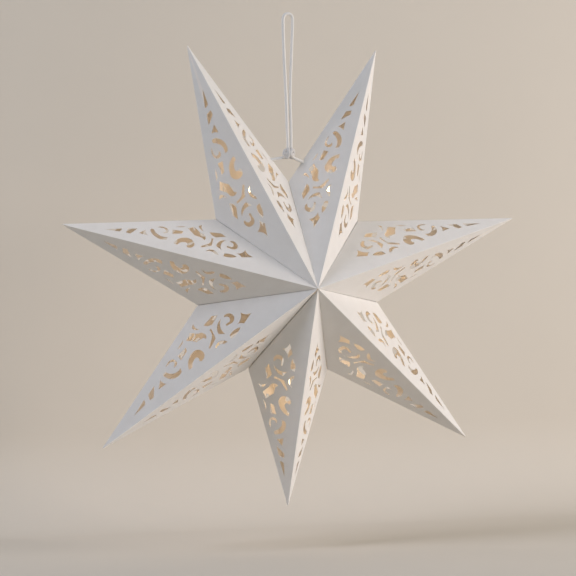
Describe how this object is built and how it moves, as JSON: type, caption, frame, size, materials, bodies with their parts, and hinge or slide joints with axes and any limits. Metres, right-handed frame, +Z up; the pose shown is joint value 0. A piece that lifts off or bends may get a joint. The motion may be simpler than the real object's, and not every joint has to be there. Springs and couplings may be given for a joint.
{
  "type": "paper star lampshade",
  "caption": "Folded white card star shade with long points and scrollwork cut-outs, hung by a looped cord, with a string of small lights inside.",
  "frame": {"origin": "where the loop of the hanging cord bears on its hook", "axes": "+Z up, +X to the right of the front face, +Y to the back along the star's axis"},
  "size_m": [0.5965, 0.158, 0.5886],
  "materials": {
    "white_card": "matt, fine fibre",
    "cord": "matt twisted cotton",
    "adhesive": "matt",
    "wire": "clear lacquer",
    "light": "clear, glowing warm white"
  },
  "bodies": {
    "root": {"star_point_bottom": "white_card", "star_point_lower_right": "white_card", "star_point_upper_right": "white_card", "star_point_top_right": "white_card", "star_point_top_left": "white_card", "star_point_upper_left": "white_card", "star_point_lower_left": "white_card", "light_1": "light", "light_2": "light", "light_3": "light", "light_4": "light", "light_5": "light", "light_6": "light", "light_7": "light", "light_wire": "wire", "hanging_cord": "cord", "cord_knot": "cord", "cord_end_knot_left": "cord", "cord_end_knot_right": "cord", "closing_strip_front": "adhesive", "closing_strip_back": "adhesive"}
  },
  "joints": []
}
